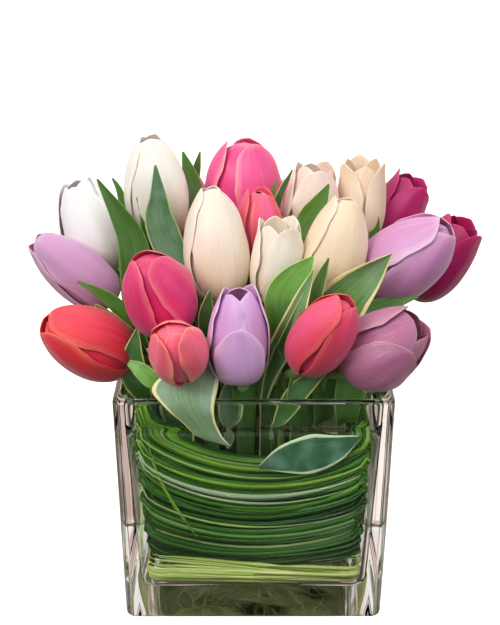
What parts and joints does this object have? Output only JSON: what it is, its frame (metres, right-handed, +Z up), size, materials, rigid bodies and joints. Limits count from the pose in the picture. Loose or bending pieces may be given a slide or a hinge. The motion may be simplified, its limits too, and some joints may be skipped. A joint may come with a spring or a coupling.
{
  "type": "tulips in a vase",
  "caption": "A bunch of cut tulips with their leaves, standing in water in a square clear glass vase lined with wound lily grass.",
  "frame": {"origin": "centre of the vase's flat underside, on the surface it stands on", "axes": "+Z up, -Y towards the front face, +X to the right of someone facing it"},
  "size_m": [0.249, 0.2061, 0.265],
  "materials": {
    "glass": "polished",
    "water": "gloss",
    "grass": "satin",
    "grass_butts": "satin",
    "leaf": "satin",
    "stem": "satin",
    "petal_blush": "satin",
    "petal_coral": "satin",
    "petal_cream": "satin",
    "petal_hotpink": "satin",
    "petal_lavender": "satin",
    "petal_lilac": "satin",
    "petal_magenta": "satin",
    "petal_peach": "satin",
    "petal_pink": "satin",
    "petal_red": "satin",
    "petal_salmon": "satin",
    "petal_white": "satin"
  },
  "bodies": {
    "root": {"bloom_blush_back_right": "petal_blush", "bloom_coral_front_right": "petal_coral", "bloom_coral_middle": "petal_coral", "bloom_cream_centre": "petal_cream", "bloom_cream_inner": "petal_cream", "bloom_cream_rear_right": "petal_cream", "bloom_cream_right": "petal_cream", "bloom_hotpink_front_left": "petal_hotpink", "bloom_lavender_far_left": "petal_lavender", "bloom_lavender_front": "petal_lavender", "bloom_lilac_lower_right": "petal_lilac", "bloom_lilac_upper_right": "petal_lilac", "bloom_magenta_back_right": "petal_magenta", "bloom_magenta_right": "petal_magenta", "bloom_peach_back_right": "petal_peach", "bloom_pink_back_centre": "petal_pink", "bloom_pink_back_left": "petal_pink", "bloom_pink_rear": "petal_pink", "bloom_red_front_left": "petal_red", "bloom_salmon_front": "petal_salmon", "bloom_white_left": "petal_white", "bloom_white_rear_left": "petal_white", "bloom_white_tall": "petal_white", "glass_vase": "glass", "grass_bundle": "grass_butts", "grass_wrap": "grass", "leaf_back_tip": "leaf", "leaf_blue_upright": "leaf", "leaf_bright_centre": "leaf", "leaf_inside_glass": "leaf", "leaf_left_blade": "leaf", "leaf_left_pointing": "leaf", "leaf_over_rim": "leaf", "leaf_rear_centre": "leaf", "leaf_right_blade": "leaf", "leaf_variegated_right": "leaf", "stem_blush_back_right": "stem", "stem_coral_front_right": "stem", "stem_coral_middle": "stem", "stem_cream_centre": "stem", "stem_cream_inner": "stem", "stem_cream_rear_right": "stem", "stem_cream_right": "stem", "stem_hotpink_front_left": "stem", "stem_lavender_far_left": "stem", "stem_lavender_front": "stem", "stem_lilac_lower_right": "stem", "stem_lilac_upper_right": "stem", "stem_magenta_back_right": "stem", "stem_magenta_right": "stem", "stem_peach_back_right": "stem", "stem_pink_back_centre": "stem", "stem_pink_back_left": "stem", "stem_pink_rear": "stem", "stem_red_front_left": "stem", "stem_salmon_front": "stem", "stem_white_left": "stem", "stem_white_rear_left": "stem", "stem_white_tall": "stem", "water": "water"}
  },
  "joints": []
}
